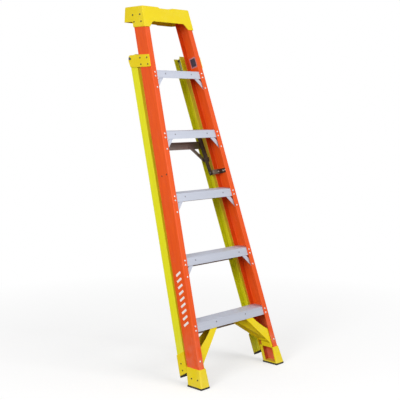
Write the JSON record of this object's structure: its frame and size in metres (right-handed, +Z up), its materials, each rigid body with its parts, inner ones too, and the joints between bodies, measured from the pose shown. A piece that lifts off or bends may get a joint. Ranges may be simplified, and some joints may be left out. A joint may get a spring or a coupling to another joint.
{
  "type": "leaning stepladder",
  "caption": "Fibreglass leaning stepladder, folded flat at its lean, with aluminium steps, braced feet, a moulded top cap and a rear section on folding spreaders.",
  "frame": {"origin": "on the floor, under the middle of the bounding box", "axes": "+Z up, steps and front feet facing -Y, rear section and wall pads towards +Y, +X to the right when seen from the front"},
  "size_m": [0.6172, 0.6928, 1.84],
  "materials": {
    "fibreglass_orange": "satin pultruded fibreglass with fine lengthwise fibre streaks",
    "fibreglass_yellow": "satin pultruded fibreglass with fine lengthwise fibre streaks",
    "moulded_yellow": "satin injection-moulded plastic",
    "aluminium": "mill-finish extrusion, ribbed on the treads",
    "zinc_steel": "zinc plated",
    "dark_steel": "dark plated strip",
    "black_rubber": "matt moulded rubber"
  },
  "bodies": {
    "front_section": {"front_rail_left": "fibreglass_orange", "front_rail_right": "fibreglass_orange", "step_1": "aluminium", "step_2": "aluminium", "step_3": "aluminium", "step_4": "aluminium", "step_5": "aluminium", "step_brace_2_left": "aluminium", "step_brace_2_right": "aluminium", "step_brace_3_left": "aluminium", "step_brace_3_right": "aluminium", "step_brace_4_left": "aluminium", "step_brace_4_right": "aluminium", "step_brace_5_left": "aluminium", "step_brace_5_right": "aluminium", "front_foot_left": "moulded_yellow", "front_foot_right": "moulded_yellow", "front_sole_left": "black_rubber", "front_sole_right": "black_rubber", "top_cap": "moulded_yellow", "wall_pad_left": "black_rubber", "wall_pad_right": "black_rubber", "hinge_plate_left": "moulded_yellow", "hinge_plate_right": "moulded_yellow", "pivot_bolt_left": "zinc_steel", "pivot_bolt_right": "zinc_steel", "pivot_nut_left": "zinc_steel", "pivot_nut_right": "zinc_steel", "spreader_front_bracket_left": "dark_steel", "spreader_front_bracket_right": "dark_steel", "spreader_front_pin_left": "zinc_steel", "spreader_front_pin_right": "zinc_steel"},
    "rear_section": {"rear_rail_left": "fibreglass_yellow", "rear_rail_right": "fibreglass_yellow", "rear_bar_1": "aluminium", "rear_bar_2": "aluminium", "rear_bar_3": "aluminium", "rear_bar_4": "aluminium", "rear_brace_left": "aluminium", "rear_brace_right": "aluminium", "rear_foot_left": "moulded_yellow", "rear_foot_right": "moulded_yellow", "rear_sole_left": "black_rubber", "rear_sole_right": "black_rubber", "hinge_strap_left": "aluminium", "hinge_strap_right": "aluminium", "spreader_rear_bracket_left": "dark_steel", "spreader_rear_bracket_right": "dark_steel", "spreader_rear_pin_left": "zinc_steel", "spreader_rear_pin_right": "zinc_steel"},
    "spreader_front_left": {"spreader_front_link_left": "dark_steel", "spreader_middle_pin_left": "zinc_steel"},
    "spreader_rear_left": {"spreader_rear_link_left": "dark_steel"},
    "spreader_front_right": {"spreader_front_link_right": "dark_steel", "spreader_middle_pin_right": "zinc_steel"},
    "spreader_rear_right": {"spreader_rear_link_right": "dark_steel"}
  },
  "joints": [
    {"name": "rear_section_swing", "type": "hinge", "parent": "front_section", "child": "rear_section", "pos_m": [0, 0.28716, 1.575], "axis": [1, 0, 0], "range_deg": [0, 31]},
    {"name": "spreader_front_fold_left", "type": "hinge", "parent": "front_section", "child": "spreader_front_left", "pos_m": [0, 0.04448, 0.982], "axis": [1, 0, 0], "range_deg": [-59.4, 0]},
    {"name": "spreader_rear_fold_left", "type": "hinge", "parent": "rear_section", "child": "spreader_rear_left", "pos_m": [0, 0.07581, 1.05], "axis": [1, 0, 0], "range_deg": [0, 89.7]},
    {"name": "spreader_front_fold_right", "type": "hinge", "parent": "front_section", "child": "spreader_front_right", "pos_m": [0, 0.04448, 0.982], "axis": [1, 0, 0], "range_deg": [-59.4, 0]},
    {"name": "spreader_rear_fold_right", "type": "hinge", "parent": "rear_section", "child": "spreader_rear_right", "pos_m": [0, 0.07581, 1.05], "axis": [1, 0, 0], "range_deg": [0, 89.7]}
  ],
  "couplings": [
    {"joint": "spreader_front_fold_left", "follows": "rear_section_swing", "ratio": -1.9159},
    {"joint": "spreader_rear_fold_left", "follows": "rear_section_swing", "ratio": 2.8906},
    {"joint": "spreader_front_fold_right", "follows": "rear_section_swing", "ratio": -1.9159},
    {"joint": "spreader_rear_fold_right", "follows": "rear_section_swing", "ratio": 2.8906}
  ]
}
